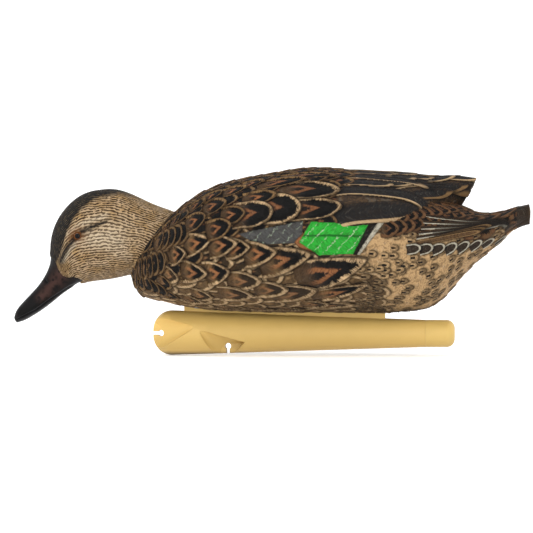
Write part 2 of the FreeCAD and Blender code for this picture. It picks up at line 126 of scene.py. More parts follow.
# ---- Paint: screen colours out of 255 ----
BUFF = (132, 102, 66)
PALE_BUFF = (194, 163, 122)
TAN = (166, 135, 95)
SAND = (196, 165, 122)
BROWN = (88, 65, 41)
DARK_BROWN = (44, 34, 25)
BLACK = (26, 26, 27)
INK = (11, 10, 9)
ORANGE = (150, 96, 58)
FAWN = (112, 84, 54)
RUST = (108, 74, 48)
GREEN = (38, 168, 50)
DARK_GREEN = (16, 62, 18)
WHITE = (182, 175, 156)
GREY = (74, 74, 73)
HATCH = (122, 112, 98)
SCRATCH = (176, 190, 160)
HEAD_TAN = (150, 121, 82)
HEAD_SAND = (164, 139, 107)
HEAD_PALE = (194, 180, 156)
HEAD_RECESS = (54, 38, 22)
LID_BROWN = (104, 66, 36)
CROWN_BLACK = (17, 15, 13)
BILL_BLACK = (13, 12, 12)
BILL_BROWN = (54, 36, 31)
BILL_SPECK = (12, 10, 10)
BILL_LINE = (8, 8, 8)
IRIS = (84, 50, 24)
PUPIL = (6, 5, 5)
EYE_RIM = (22, 14, 8)
KEEL_YELLOW = (212, 177, 102)
CAP_YELLOW = (214, 180, 104)


def linear(colour):
    """Screen colour out of 255 as linear light."""
    share = np.array(colour, float) / 255
    return np.where(share < 0.04045, share / 12.92, ((share + 0.055) / 1.055) ** 2.4)


# ---- Surfaces ----
def spline(knots, values, at):
    """Natural cubic spline through rows of values at knots, read at many places."""
    step = np.diff(knots)[:, None]
    slope = np.diff(values, axis=0) / step
    count = len(knots)
    matrix = np.eye(count)
    right = np.zeros_like(values)
    for i in range(1, count - 1):
        matrix[i, i - 1:i + 2] = step[i - 1, 0], 2 * (step[i - 1, 0] + step[i, 0]), step[i, 0]
        right[i] = 6 * (slope[i] - slope[i - 1])
    bend = np.linalg.solve(matrix, right)
    k = np.clip(np.searchsorted(knots, at) - 1, 0, count - 2)
    width = step[k]
    b = (at - knots[k])[:, None] / width
    a = 1 - b
    curved = ((a ** 3 - a) * bend[k] + (b ** 3 - b) * bend[k + 1]) * width ** 2 / 6
    return a * values[k] + b * values[k + 1] + curved


def skin(table, rings, around):
    """Grid over a table of sections. Each ring is a superellipse about the chord from top to bottom, with
    its widest line moved along the chord; rings follow a smooth curve through the table's rows."""
    rows = np.array(table, float)
    middle = (rows[:, 0:2] + rows[:, 2:4]) / 2
    knots = np.concatenate([[0], np.cumsum(np.hypot(*np.diff(middle, axis=0).T))])
    r = spline(knots, rows, np.linspace(0, knots[-1], rings))[:, None, :]
    angle = np.linspace(0, 2 * math.pi, around, endpoint=False)[None, :]
    half = np.hypot(r[..., 0] - r[..., 2], r[..., 1] - r[..., 3]) / 2
    up_x = (r[..., 0] - r[..., 2]) / 2 / half
    up_z = (r[..., 1] - r[..., 3]) / 2 / half
    power = 2 / r[..., 6]
    across = np.sign(np.sin(angle)) * np.abs(np.sin(angle)) ** power
    along = np.sign(np.cos(angle)) * np.abs(np.cos(angle)) ** power
    rise = r[..., 5] * half
    level = rise + np.where(along > 0, half - rise, half + rise) * along
    x = (r[..., 0] + r[..., 2]) / 2 + up_x * level
    z = (r[..., 1] + r[..., 3]) / 2 + up_z * level
    return np.stack([x, r[..., 4] * across, z], axis=-1)


def grid_directions(points):
    """Unit directions along the rings' order and out of the surface, for a grid that closes on itself."""
    forward = np.gradient(points, axis=0)
    sideways = np.roll(points, -1, axis=1) - np.roll(points, 1, axis=1)
    out = np.cross(sideways, forward)
    out *= np.sign(np.sum(out * (points - points.mean(axis=1, keepdims=True)), axis=-1).mean())
    return tuple(v / np.maximum(np.linalg.norm(v, axis=-1, keepdims=True), 1e-9) for v in (forward, out))


def grid_faces(rings, around, flip):
    """Quads between neighbouring rings, and two fans that close the ends round a centre vertex each."""
    i, j = np.meshgrid(np.arange(rings - 1), np.arange(around), indexing="ij")
    k = (j + 1) % around
    quads = np.stack([i * around + j, i * around + k, (i + 1) * around + k, (i + 1) * around + j], -1)
    quads = quads.reshape(-1, 4)
    ring = np.arange(around)
    after = (ring + 1) % around
    first, last = rings * around, rings * around + 1
    start = np.stack([after, ring, np.full(around, first)], -1)
    end = np.stack([ring, after, np.full(around, last)], -1) + [[(rings - 1) * around] * 2 + [0]]
    fans = np.concatenate([start, end])
    return (quads[:, ::-1], fans[:, ::-1]) if flip else (quads, fans)


def grid_piece(name, points, values, material, body, replaced):
    """Closed tube through a grid of points, with one named vector per vertex for each entry of values."""
    rings, around = points.shape[:2]
    ends = np.stack([points[0].mean(axis=0), points[-1].mean(axis=0)])
    places = np.concatenate([points.reshape(-1, 3), ends])
    turning = np.cross(points[0, 1] - points[0, 0], points[1, 0] - points[0, 0])
    quads, fans = grid_faces(rings, around, np.dot(turning, points[0, 0] - ends[0]) < 0)
    mesh = bpy.data.meshes.new(name)
    mesh.vertices.add(len(places))
    mesh.vertices.foreach_set("co", (places * MM).astype(np.float32).ravel())
    mesh.loops.add(quads.size + fans.size)
    mesh.loops.foreach_set("vertex_index", np.concatenate([quads.ravel(), fans.ravel()]).astype(np.int32))
    starts = np.concatenate([np.arange(len(quads)) * 4, quads.size + np.arange(len(fans)) * 3])
    mesh.polygons.add(len(starts))
    mesh.polygons.foreach_set("loop_start", starts.astype(np.int32))
    mesh.polygons.foreach_set("use_smooth", np.ones(len(starts), bool))
    mesh.update(calc_edges=True)
    for key, value in values.items():
        flat = np.asarray(value).reshape(-1, 3)
        edge = flat.reshape(rings, around, 3)[[0, -1]].mean(axis=1)
        layer = mesh.attributes.new(key, "FLOAT_VECTOR", "POINT")
        layer.data.foreach_set("vector", np.concatenate([flat, edge]).astype(np.float32).ravel())
    mesh.set_sharp_from_angle(angle=math.radians(SHARP_ANGLE))
    mesh.materials.append(material)
    obj = bpy.data.objects.new(name, mesh)
    bpy.context.scene.collection.objects.link(obj)
    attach(obj, body)
    for node in replaced:
        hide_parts(node)


# ---- Plumage ----
# Each style: ground and rim colours, strength of the dark band, of the orange inner chevron and of a central
# spot, where the rim starts, relief in mm, share of the length where the tip starts to round, and roundness
# (2 round, 1 pointed).
STYLES = {
    "breast": (FAWN, BUFF, 1.0, 0.15, 0, 0.80, 1.4, 0.40, 1.8),
    "flank": (BUFF, PALE_BUFF, 1.0, 0.9, 0, 0.82, 2.0, 0.22, 1.35),
    "low_flank": (BUFF, PALE_BUFF, 0.85, 0.5, 0, 0.81, 1.8, 0.30, 1.55),
    "big_flank": (BLACK, PALE_BUFF, 1.0, 1.0, 0, 0.86, 2.1, 0.15, 1.3),
    "scapular": (DARK_BROWN, BUFF, 1.0, 0.9, 0, 0.82, 1.8, 0.40, 1.6),
    "big_scapular": (BLACK, PALE_BUFF, 1.0, 0.7, 0, 0.86, 1.9, 0.45, 1.8),
    "back": (DARK_BROWN, BUFF, 1.0, 0.6, 0, 0.82, 1.4, 0.40, 1.6),
    "tertial": (BLACK, PALE_BUFF, 0.0, 0.0, 0, 0.74, 1.2, 0.60, 1.8),
    "primary": (BLACK, BUFF, 0.0, 0.0, 0, 0.66, 0.9, 0.55, 1.8),
    "rump": (DARK_BROWN, RUST, 1.0, 0.35, 0, 0.72, 1.0, 0.35, 1.5),
    "tail": (DARK_BROWN, WHITE, 0.0, 0.0, 0, 0.30, 0.9, 0.85, 2.0),
    "tail_brown": (BROWN, BUFF, 0.0, 0.0, 0, 0.72, 0.7, 0.80, 2.0),
    "covert": (DARK_BROWN, WHITE, 0.0, 0.0, 0, 0.76, 1.0, 0.40, 2.0),
    "spot": (TAN, TAN, 0.0, 0.0, 1, 0.95, 0.6, 0.40, 2.0),
    "dash": (TAN, BUFF, 0.5, 0.0, 1, 0.90, 0.6, 0.40, 2.0),
    "belly": (BUFF, PALE_BUFF, 0.45, 0.0, 0, 0.78, 0.9, 0.40, 1.8),
    "grey": (GREY, GREY, 0.0, 0.0, 0, 0.95, 0.8, 0.60, 1.8),
    "green": (GREEN, GREEN, 0.0, 0.0, 0, 0.95, 0.6, 0.50, 2.0),
    "black": (INK, INK, 0.0, 0.0, 0, 0.95, 0.4, 0.50, 2.0),
    "white": (WHITE, WHITE, 0.0, 0.0, 0, 0.95, 0.4, 0.50, 2.0),
    "orange": (ORANGE, ORANGE, 0.0, 0.0, 0, 0.95, 0.4, 0.50, 2.0),
}
ONE_EDGE = ("tertial", "primary", "tail")     # the rim shows along the lower edge only

# Side-view feathers, mirrored to the far side: tip x, tip z, heading in degrees, length, half width, style.
BREAST = [(-43.5 - 4.0 * k, 79.0 - 1.3 * k, 8, 11, 8.0, "breast") for k in range(5)]
BREAST += [(-58.5 - 3.8 * k, 60.5 - 1.2 * k, 5, 10, 7.4, "breast") for k in range(5)]
BREAST += [(-60 - 4.4 * k, 41.0 + 1.6 * k, -14, 10, 6.8, "breast") for k in range(5)]
BREAST += [
    (-44.5, 65, 5, 13, 6.6, "flank"), (-50, 50.5, -4, 12, 5.8, "low_flank"),
    (-56, 46, -8, 11, 5.4, "breast"), (-53, 37.5, -14, 11, 5.4, "breast"),
    (-50, 88, 20, 10, 6.0, "back"), (-44, 96, 28, 10, 4.8, "back"),
    (-54, 94, 30, 8, 4.4, "back"), (-57, 84, 24, 9, 5.0, "back"),
]
FLANK = [
    (-29, 72.5, 8, 19, 7.6, "flank"), (-12.5, 71.0, 6, 19, 7.6, "flank"), (-4.5, 69.0, 3, 16, 7.0, "flank"),
    (12, 66.0, 5, 21, 8.2, "flank"), (33, 65.0, 12, 33, 9.6, "flank"),
    (-31.5, 54.0, 4, 18, 7.6, "flank"), (-18, 55.5, 14, 17, 8.4, "flank"),
    (1.5, 49.0, 4, 22, 7.4, "low_flank"), (-5.0, 41.0, 6, 22, 8.0, "low_flank"),
    (17.5, 44.0, 6, 22, 7.8, "low_flank"), (34.5, 46.0, 20, 30, 9.0, "low_flank"),
    (-30.5, 39.0, 0, 14, 7.0, "low_flank"), (-37.5, 35.7, -4, 14, 6.2, "low_flank"),
    (-15, 31.5, 2, 17, 5.6, "low_flank"), (7, 31.5, 6, 17, 5.4, "low_flank"),
    (25, 33.0, 14, 18, 5.4, "low_flank"), (41, 37.0, 20, 18, 6.4, "low_flank"),
    (67, 61.5, 18, 46, 12.5, "big_flank"), (66, 50.5, 27, 38, 6.5, "flank"),
    (56, 39.0, 24, 28, 5.5, "low_flank"),
]
SCAPULARS = [
    (-33, 86.4, 10, 15, 7.2, "scapular"), (-21, 96.0, 8, 16, 7.2, "scapular"),
    (-17, 82.5, 12, 17, 7.0, "scapular"), (-8.5, 89.0, 2, 16, 7.0, "scapular"),
    (-10, 107.0, 20, 16, 6.0, "scapular"), (1, 110.0, 12, 15, 6.0, "scapular"),
    (-25, 104.0, 26, 14, 6.0, "scapular"), (-35, 98.0, 24, 13, 5.5, "scapular"),
    (9, 90.0, 2, 26, 9.6, "big_scapular"), (26, 92.0, -4, 30, 11.5, "big_scapular"),
    (49, 104.5, 0, 38, 8.4, "big_scapular"), (51, 94.5, 6, 34, 7.6, "big_scapular"),
    (28, 110.5, 4, 32, 6.0, "scapular"), (10, 101.0, 8, 22, 7.0, "scapular"),
    (46, 113.5, 0, 36, 5.4, "back"),
]
WINGS = [
    (131, 112.0, 16, 40, 3.2, "primary"), (128, 112.4, 24, 34, 3.0, "primary"),
    (119, 108.0, 22, 30, 3.4, "primary"), (112, 110.2, 11, 76, 4.6, "tertial"),
    (103, 115.6, 7, 64, 3.8, "tertial"), (86, 118.4, 3, 50, 3.4, "tertial"),
    (105, 99.0, 12.5, 84, 6.4, "tertial"),
]
TAIL = [(154 - 1.5 * k, 91.8 - 2.1 * k, 14 - k, 56, 1.1, "tail") for k in range(5)]
TAIL += [(143 - 3 * k, 82.2 - 1.9 * k, 11 - k, 44, 1.5, "tail_brown") for k in range(3)]
COVERTS = [(99 + 7.4 * k, 68.6 + 0.20 * k + 0.13 * k * k, 8 + 4 * k, 9.5, 3.2, "covert")
           for k in range(8)]
RUMP = [(86 + 5.0 * k, 81.0 + 1.1 * k, 4, 12, 6.0, "rump") for k in range(10)]
RUMP += [(92 + 5.0 * k, 88.5 + 0.8 * k, 6, 12, 5.6, "rump") for k in range(8)]

# Side-view patches with straight edges: corners (x, z) from the front, lower edge first, and a style.
PATCHES = [
    ([(-13, 77), (0.2, 70.0), (27, 72.0), (27, 85)], "grey"),
    ([(22, 72), (31, 63), (40, 79), (33, 83.5)], "orange"),
    ([(25, 72.0), (37, 64.0), (59, 65.0), (68, 82.5), (32, 84.5)], "green"),
    ([(57.6, 64.5), (60.2, 64.5), (72.8, 83.5), (67.2, 83.5)], "black"),
    ([(60.2, 64.5), (61.8, 64.3), (76.4, 84.0), (72.6, 84.0)], "white"),
]
PATCH_STROKES = {"green": 1.0, "grey": 0.65}
PATCH_FACING = 0.25
SPLIT_RISE = 8          # the green patch's dark line, above the middle of its lower edge

# A feather's relief, as shares of its style's relief, and the widths of the steps in its outline value.
ROOT_RISE = 0.05
TIP_RISE = 0.68
RIDGE_RISE = 0.30
RIDGE_REACH = 0.5
RIM_RISE = 0.32
RIM_RAMP = 0.08
RIM_DROP = 0.04
GROOVE_INSET = 0.12
GROOVE_WIDTH = 0.10

# The dark fringe beyond a feather's outline: its width, and the share of the length where it starts.
SHADOW_WIDTH = 1.6
SHADOW_START = 0.2

# The chevron value: width share times a factor, plus the share of the way from a start to the tip.
CHEVRON_WIDTH = 1.1
CHEVRON_START = 0.30
CHEVRON_LENGTH = 0.62

# Random ranges, and how closely a vertex has to face the way the feather or the viewer does.
TONES = (0.85, 1.15)
SIZES = (0.92, 1.1)
HEADING_SCATTER = 0.06
SAME_SIDE = 0.15
IN_VIEW = 0.05
OUT_OF_REACH = 1e6
SPARE_REACH = 2
BARE_OUTLINE = 0.8      # outline value where no feather lies

# Where the small feathers lie: limits along the body, in height, and in how far the surface faces up.
BELLY_FACING = -0.45
BELLY_END = 70
BREAST_END = -42
BREAST_TOP = 84
TAIL_START = 124
TAIL_FACING = 0.4
RUMP_START = 78
BACK_FACING = 0.30
WING_FACING = 0.86
VENT = (58, 150)
VENT_TOP = 84
VENT_BARE_SHARE = 0.28
DASH_START = 100
DASH_FACING = -0.5


def feather_relief(share, edge, lip_start, band):
    """A rise from root to tip, a ridge down the middle, a bell-shaped groove inside the rim, and the rim."""
    groove = np.exp(-((edge - lip_start + GROOVE_INSET) / GROOVE_WIDTH) ** 2) * band
    ridge = np.clip(1 - edge / RIDGE_REACH, 0, 1) * RIDGE_RISE
    lip = np.clip((edge - lip_start) / RIM_RAMP, 0, 1) * np.clip((1.0 - edge) / RIM_DROP, 0, 1)
    return ROOT_RISE + TIP_RISE * share + ridge - RIM_RISE * groove + RIM_RISE * lip


class Plumage:
    """A grid with its feather relief and the values that the paint reads."""

    def __init__(self, table, rings, around):
        self.grid = skin(table, rings, around)
        self.forward, self.out = grid_directions(self.grid)
        count = rings * around
        self.place = self.grid.reshape(-1, 3)
        self.normal = self.out.reshape(-1, 3)
        self.shape = np.tile([0.0, 0.0, BARE_OUTLINE], (count, 1))
        self.mark = np.zeros((count, 3))
        self.inner = np.ones((count, 3))
        self.depth = np.zeros((count, 3))
        self.ground = np.tile(linear(TAN), (count, 1))
        self.rim = np.tile(linear(TAN), (count, 1))
        self.height = np.zeros(count)

    def nearest(self, x, z, side):
        """Index of the vertex seen at x, z from that side."""
        off = (self.place[:, 0] - x) ** 2 + (self.place[:, 2] - z) ** 2
        off = off + np.where(self.normal[:, 1] * side > IN_VIEW, 0, OUT_OF_REACH)
        return int(off.argmin())

    def footprint(self, centre, normal, heading, length, half, style):
        """Vertices near a feather, with their share of its length, their distance off its axis, and their
        outline value: the width share and the tip share, each to the style's power, added and rooted."""
        tip_start, power = STYLES[style][7:]
        along = heading - normal * np.dot(heading, normal)
        along /= np.linalg.norm(along)
        side = np.cross(normal, along)
        offset = self.place - centre
        close = np.einsum("ij,ij->i", offset, offset) < (length / 2 + half + SPARE_REACH) ** 2
        close &= self.normal @ normal > SAME_SIDE
        near = np.flatnonzero(close)
        share = offset[near] @ along / length + 0.5
        across = offset[near] @ side
        tip = np.clip((share - tip_start) / (1 - tip_start), 0, None)
        edge = (np.abs(across / half) ** power + tip ** power) ** (1 / power)
        return near, share, across, edge

    def lay(self, centre, normal, heading, length, half, style):
        """One feather: bands run parallel to its outline, and it rises from its root to its tip."""
        ground, rim, band, warm, spot, lip_start, relief = STYLES[style][:7]
        near, share, across, edge = self.footprint(centre, normal, heading, length, half, style)
        shadow = (1.0 + SHADOW_WIDTH / half - edge) / (SHADOW_WIDTH / half)
        fringe = (share > SHADOW_START) & (edge >= 1) & (shadow > 0)
        self.depth[near[fringe], 0] = np.maximum(self.depth[near[fringe], 0], shadow[fringe])
        keep = (share > 0) & (edge < 1)
        near, share, across, edge = near[keep], share[keep], across[keep], edge[keep]
        same = np.ones(len(share))
        tone = random.uniform(*TONES)
        towards_tip = np.clip((share - CHEVRON_START) / CHEVRON_LENGTH, 0, None)
        chevron = np.abs(across / half) * CHEVRON_WIDTH + towards_tip
        self.depth[near] = (0, random.uniform(-1, 1), 0)
        self.shape[near] = np.stack([share * length, across, edge], -1)
        self.mark[near] = np.stack([band * same, warm * same, share], -1)
        self.inner[near] = np.stack([chevron, spot * same, lip_start * same], -1)
        self.ground[near] = linear(ground) * tone
        self.rim[near] = linear(rim) * tone
        if style in ONE_EDGE:
            above = np.clip(-across * normal[1] / half * 4 + 0.6, 0, 1)[:, None]
            self.rim[near] = above * linear(ground) * tone + (1 - above) * self.rim[near]
        self.height[near] = relief * feather_relief(share, edge, lip_start, band)

    def patch(self, corners, style):
        """A many-sided area of one style on both sides, with a low raised face."""
        ground, rim = STYLES[style][:2]
        x, z = self.place[:, 0], self.place[:, 2]
        inside = np.abs(self.normal[:, 1]) > PATCH_FACING
        for (ax, az), (bx, bz) in zip(corners, corners[1:] + corners[:1]):
            inside &= (bx - ax) * (z - az) - (bz - az) * (x - ax) > 0
        along = x[inside] - corners[0][0]
        across = z[inside] - 0.5 * (corners[0][1] + corners[1][1]) - SPLIT_RISE
        self.shape[inside] = np.stack([along, across, np.full(len(along), BARE_OUTLINE)], -1)
        self.mark[inside] = (0, 0, 1)
        self.inner[inside] = (1, 0, 1)
        self.depth[inside] = (0, 0, PATCH_STROKES.get(style, 0))
        self.ground[inside] = linear(ground)
        self.rim[inside] = linear(rim)
        self.height[inside] = STYLES[style][6]

    def lay_list(self, feathers, guide):
        """Feathers of a side-view list on both sides, from the rear forwards, placed on the guide grid."""
        for x, z, turn, length, half, style in sorted(feathers, key=lambda f: -f[0]):
            for side in (-1, 1):
                angle = math.radians(turn)
                heading = np.array([math.cos(angle), 0, math.sin(angle)])
                k = guide.nearest(x - heading[0] * length / 2, z - heading[2] * length / 2, side)
                self.lay(guide.place[k], guide.normal[k], heading, length, half, style)

    def lay_rows(self, x_range, step, half, length, gap, scatter, choose):
        """Staggered rows over the whole girth, from the rear forwards; choose gives the style or None."""
        middle = self.grid.mean(axis=1)[:, 0]
        for row, x in enumerate(np.arange(x_range[1], x_range[0], -step)):
            ring = int(np.abs(middle - x).argmin())
            girth = np.linalg.norm(np.diff(self.grid[ring], axis=0), axis=-1).sum()
            count = max(6, int(girth / gap))
            for k in range(count):
                shift = 0.5 * (row % 2) + random.normal(0, scatter)
                j = int((k + shift) / count * self.grid.shape[1]) % self.grid.shape[1]
                point, normal = self.grid[ring, j], self.out[ring, j]
                style = choose(point, normal)
                if style:
                    size = random.uniform(*SIZES)
                    heading = self.forward[ring, j] + random.normal(0, HEADING_SCATTER, 3)
                    point = point + self.forward[ring, j] * random.normal(0, scatter * gap)
                    self.lay(point, normal, heading, length * size, half * size, style)

    def pieces(self, names, material, body, replaced):
        """Build the finished grid, cut across its length into one closed piece per name."""
        rings, around = self.grid.shape[:2]
        shaped = self.grid + self.out * self.height.reshape(rings, around, 1)
        values = {"shape": self.shape, "mark": self.mark, "inner": self.inner}
        values.update({"depth": self.depth, "ground": self.ground, "rim": self.rim})
        cuts = np.linspace(0, rings - 1, len(names) + 1).astype(int)
        for name, low, high in zip(names, cuts, cuts[1:]):
            part = slice(low, high + 1)
            share = {k: v.reshape(rings, around, 3)[part] for k, v in values.items()}
            grid_piece(name, shaped[part], share, material, body, replaced)


def filler_style(point, normal):
    """Style of the rows that fill in what the lists leave open."""
    x, y, z = point
    if normal[2] < BELLY_FACING and x < BELLY_END:
        return "belly"
    if x < BREAST_END:
        return "breast" if z < BREAST_TOP else "back"
    if x > TAIL_START and normal[2] > TAIL_FACING:
        return "rump"
    if x > VENT[0] and z < VENT_TOP:
        return None
    if x > RUMP_START:
        return "rump"
    return "back" if normal[2] > BACK_FACING else "low_flank"


def wing_style(point, normal):
    """Long narrow feathers over the middle of the back."""
    return "tertial" if normal[2] > WING_FACING else None


def vent_style(point, normal):
    """Small dark-centred feathers over the rear, and dashes towards the tail and along the underside."""
    x, y, z = point
    if x < VENT[0] or x > VENT[1] or z > VENT_TOP or random.random() < VENT_BARE_SHARE:
        return None
    return "dash" if x > DASH_START or normal[2] < DASH_FACING else "spot"


# ---- Paint ----
class Value:
    """A node output that can be added, multiplied and mixed; each result is a new node in the same tree."""

    def __init__(self, tree, socket):
        self.tree = tree
        self.socket = socket

    def node(self, kind, inputs=None, output=0, **settings):
        """Any other node. Inputs are set by index or name, from values, numbers or colours."""
        made = self.tree.nodes.new(kind)
        for key, value in settings.items():
            setattr(made, key, value)
        for key, value in (inputs or {}).items():
            if isinstance(value, Value):
                self.tree.links.new(value.socket, made.inputs[key])
            else:
                made.inputs[key].default_value = value
        return Value(self.tree, made.outputs[output])

    def math(self, operation, *others):
        """One Math node on this value and any others."""
        return self.node("ShaderNodeMath", dict(enumerate((self,) + others)), operation=operation)

    def __add__(self, other):
        return self.math("ADD", other)

    def __sub__(self, other):
        return self.math("SUBTRACT", other)

    def __mul__(self, other):
        return self.math("MULTIPLY", other)

    def __truediv__(self, other):
        return self.math("DIVIDE", other)

    def __rsub__(self, other):
        return self.node("ShaderNodeMath", {0: other, 1: self}, operation="SUBTRACT")

    __radd__ = __add__
    __rmul__ = __mul__

    def step(self, low, high):
        """0 below low and 1 above high, with a smooth rise."""
        span = {"Value": self, "From Min": low, "From Max": high}
        return self.node("ShaderNodeMapRange", span, interpolation_type="SMOOTHSTEP")

    def between(self, low, high, soft):
        """1 between low and high, with soft ends."""
        return self.step(low - soft, low + soft) * (1 - self.step(high - soft, high + soft))

    def mix(self, first, second):
        """Colour that goes from first to second as this value goes from 0 to 1."""
        return self.node("ShaderNodeMix", {0: self, 6: first, 7: second}, output=2, data_type="RGBA")

    def axis(self, index):
        """One of a vector's three numbers."""
        return self.node("ShaderNodeSeparateXYZ", {0: self}, output=index)

    def vector(self, y, z=0.0):
        """Vector of this value and two more."""
        return self.node("ShaderNodeCombineXYZ", {0: self, 1: y, 2: z})

    def noise(self, scale, detail=2.0, distortion=0.0):
        """Noise from this vector, about 0 to 1."""
        setup = {"Vector": self, "Scale": scale, "Detail": detail, "Distortion": distortion}
        return self.node("ShaderNodeTexNoise", setup)


def rgb(colour):
    """Screen colour out of 255 as a socket's colour."""
    return (*linear(colour), 1.0)


def new_material(name, roughness, specular):
    """Material, its shader node, and a first value to build the rest from."""
    material = bpy.data.materials.new(name)
    material.use_nodes = True
    tree = material.node_tree
    shader = next(n for n in tree.nodes if n.type == "BSDF_PRINCIPLED")
    shader.inputs["Roughness"].default_value = roughness
    shader.inputs["Specular IOR Level"].default_value = specular
    where = Value(tree, None).node("ShaderNodeTexCoord", output=3)
    return material, shader, where


def connect(shader, colour, height=None, depth=0.0, strength=1.0):
    """Base colour and, if given, a bump of that depth in metres."""
    colour.tree.links.new(colour.socket, shader.inputs["Base Color"])
    if height is not None:
        bump = height.node("ShaderNodeBump", {"Height": height, "Distance": depth, "Strength": strength})
        colour.tree.links.new(bump.socket, shader.inputs["Normal"])


def feather_values(where):
    """The values that every feather carries, and the noises that break up its bands."""
    shape, mark, inner, depth, ground, rim = (
        where.node("ShaderNodeAttribute", output=1, attribute_name=name)
        for name in ("shape", "mark", "inner", "depth", "ground", "rim"))
    f = SimpleNamespace(ground=ground, rim=rim)
    f.along, f.across, f.outline = (shape.axis(k) for k in range(3))
    f.band, f.warm, f.share = (mark.axis(k) for k in range(3))
    f.chevron, f.spot, f.lip = (inner.axis(k) for k in range(3))
    f.shadow, f.chance, f.strokes = (depth.axis(k) for k in range(3))
    f.fine = where.noise(1100, 3.0)
    f.coarse = where.noise(240, 2.0)
    f.wavy = where.noise(420, 2.0, 1.6)
    away = f.across.math("ABSOLUTE")
    barb = f.along - away * 0.9
    f.streak = (barb * 1.25 + f.coarse * 1.5).vector(away * 0.25, f.chance * 5).noise(1.5, 3.0, 0.3)
    ragged = (f.streak - 0.5) * 0.36 + (f.fine - 0.5) * 0.12
    f.plain = 1 - f.band
    edge = f.outline + (ragged + (f.coarse - 0.5) * 0.25) * (1 - f.plain * 0.75)
    f.brim = (edge - f.lip).step(-0.05, 0.03)
    f.glow = f.chevron + ragged * 1.1
    return f


def feather_face(f):
    """Ground colour, browner and darker at the root as painted shade under the overlapping feather, with the
    orange chevron, a spot's halo, and brush marks.
    """
    # Painted shade: brown, then dark brown, towards the root, where the feather in front lies over it.
    colour = ((1 - f.share.step(0.0, 0.45)) * f.band).mix(f.ground, rgb(BROWN))
    colour = ((1 - f.share.step(0.0, 0.3)) * f.band * 0.4).mix(colour, rgb(DARK_BROWN))
    orange = f.glow.between(0.24, 0.52, 0.05) * f.warm * (1 - f.brim) * f.share.step(0.12, 0.35)
    colour = orange.mix(colour, rgb(ORANGE))
    halo = f.outline.between(0.42, 0.64, 0.06) * f.spot * f.streak.step(0.38, 0.55) * 0.6
    colour = halo.mix(colour, rgb(SAND))
    hatch = (1 - f.streak.step(0.36, 0.52)) * (0.62 - f.spot * 0.30)
    colour = hatch.mix(colour, rgb(DARK_BROWN))
    fleck = f.streak.step(0.56, 0.70) * 0.30
    return fleck.mix(colour, rgb(HATCH))


def feather_rim(f):
    """Rim colour, worn brown in streaks and in patches."""
    colour = ((1 - f.streak.step(0.38, 0.54)) * (f.band * 0.5 + 0.3)).mix(f.rim, rgb(BROWN))
    return ((1 - f.coarse.step(0.38, 0.62)) * f.band * 0.5).mix(colour, rgb(BROWN))


def feather_ink(f):
    """Share of black: the band inside the rim, the wedge inside the chevron, and a spot's centre."""
    dark = f.glow.step(0.44, 0.54) * f.band * (1 - f.brim) * f.share.step(0.22, 0.48)
    wedge = (1 - f.glow.step(0.17, 0.27)) * f.warm * f.share.step(0.15, 0.35)
    centre = (1 - (f.outline + (f.fine - 0.5) * 0.2).step(0.28, 0.38)) * f.spot
    worn = 1 - f.streak.step(0.62, 0.76) * 0.35
    return dark.math("MAXIMUM", wedge).math("MAXIMUM", centre) * worn


def feather_shadows(f, colour):
    """Swirls between the small spots, painted shade in the crease along each outline, and the painted shadow
    beyond it.
    """
    swirl = (1 - f.wavy.step(0.40, 0.50)) * 0.5 * f.plain * f.spot
    colour = swirl.mix(colour, rgb(BROWN))
    # Painted shade: dark brown along the crease at each feather's outline.
    crease = f.outline.step(0.93, 0.985) * f.band.math("MAXIMUM", 0.5) * 0.85
    colour = crease.mix(colour, rgb(DARK_BROWN))
    shade = f.shadow.step(0.0, 1.0) * 0.8
    return shade.mix(colour, rgb(INK))


def patch_strokes(f, colour):
    """The green patch's dark line, and thin pale strokes across the green and grey patches."""
    from_line = (f.across + f.coarse * 1.5 - 0.75).math("ABSOLUTE")
    split = (1 - from_line.step(0.35, 0.9)) * f.strokes.step(0.7, 0.9)
    colour = (split * 0.75).mix(colour, rgb(DARK_GREEN))
    stroke = ((f.along * 0.9 - f.across * 0.8 + f.wavy * 5) / 6).math("FRACT")
    scratch = stroke.between(0.06, 0.14, 0.03) * f.coarse.step(0.40, 0.52) * f.strokes
    return (scratch * 0.85).mix(colour, rgb(SCRATCH))


def plumage_material():
    """Ragged bands that follow each feather's outline, dry-brushed along the barbs."""
    material, shader, where = new_material("painted_plumage", roughness=0.7, specular=0.15)
    f = feather_values(where)
    colour = f.brim.mix(feather_face(f), feather_rim(f))
    colour = feather_ink(f).mix(colour, rgb(INK))
    colour = patch_strokes(f, feather_shadows(f, colour))
    # Painted shade: the plumage darkens towards black low on the body, where it turns under.
    underside_shade = 1 - where.axis(2).step(0.0275, 0.0345)
    colour = (underside_shade * 0.6).mix(colour, rgb(INK))
    connect(shader, colour, f.streak * 1.6 + f.wavy * 0.6 + f.fine * 0.25, depth=0.0014)
    return material


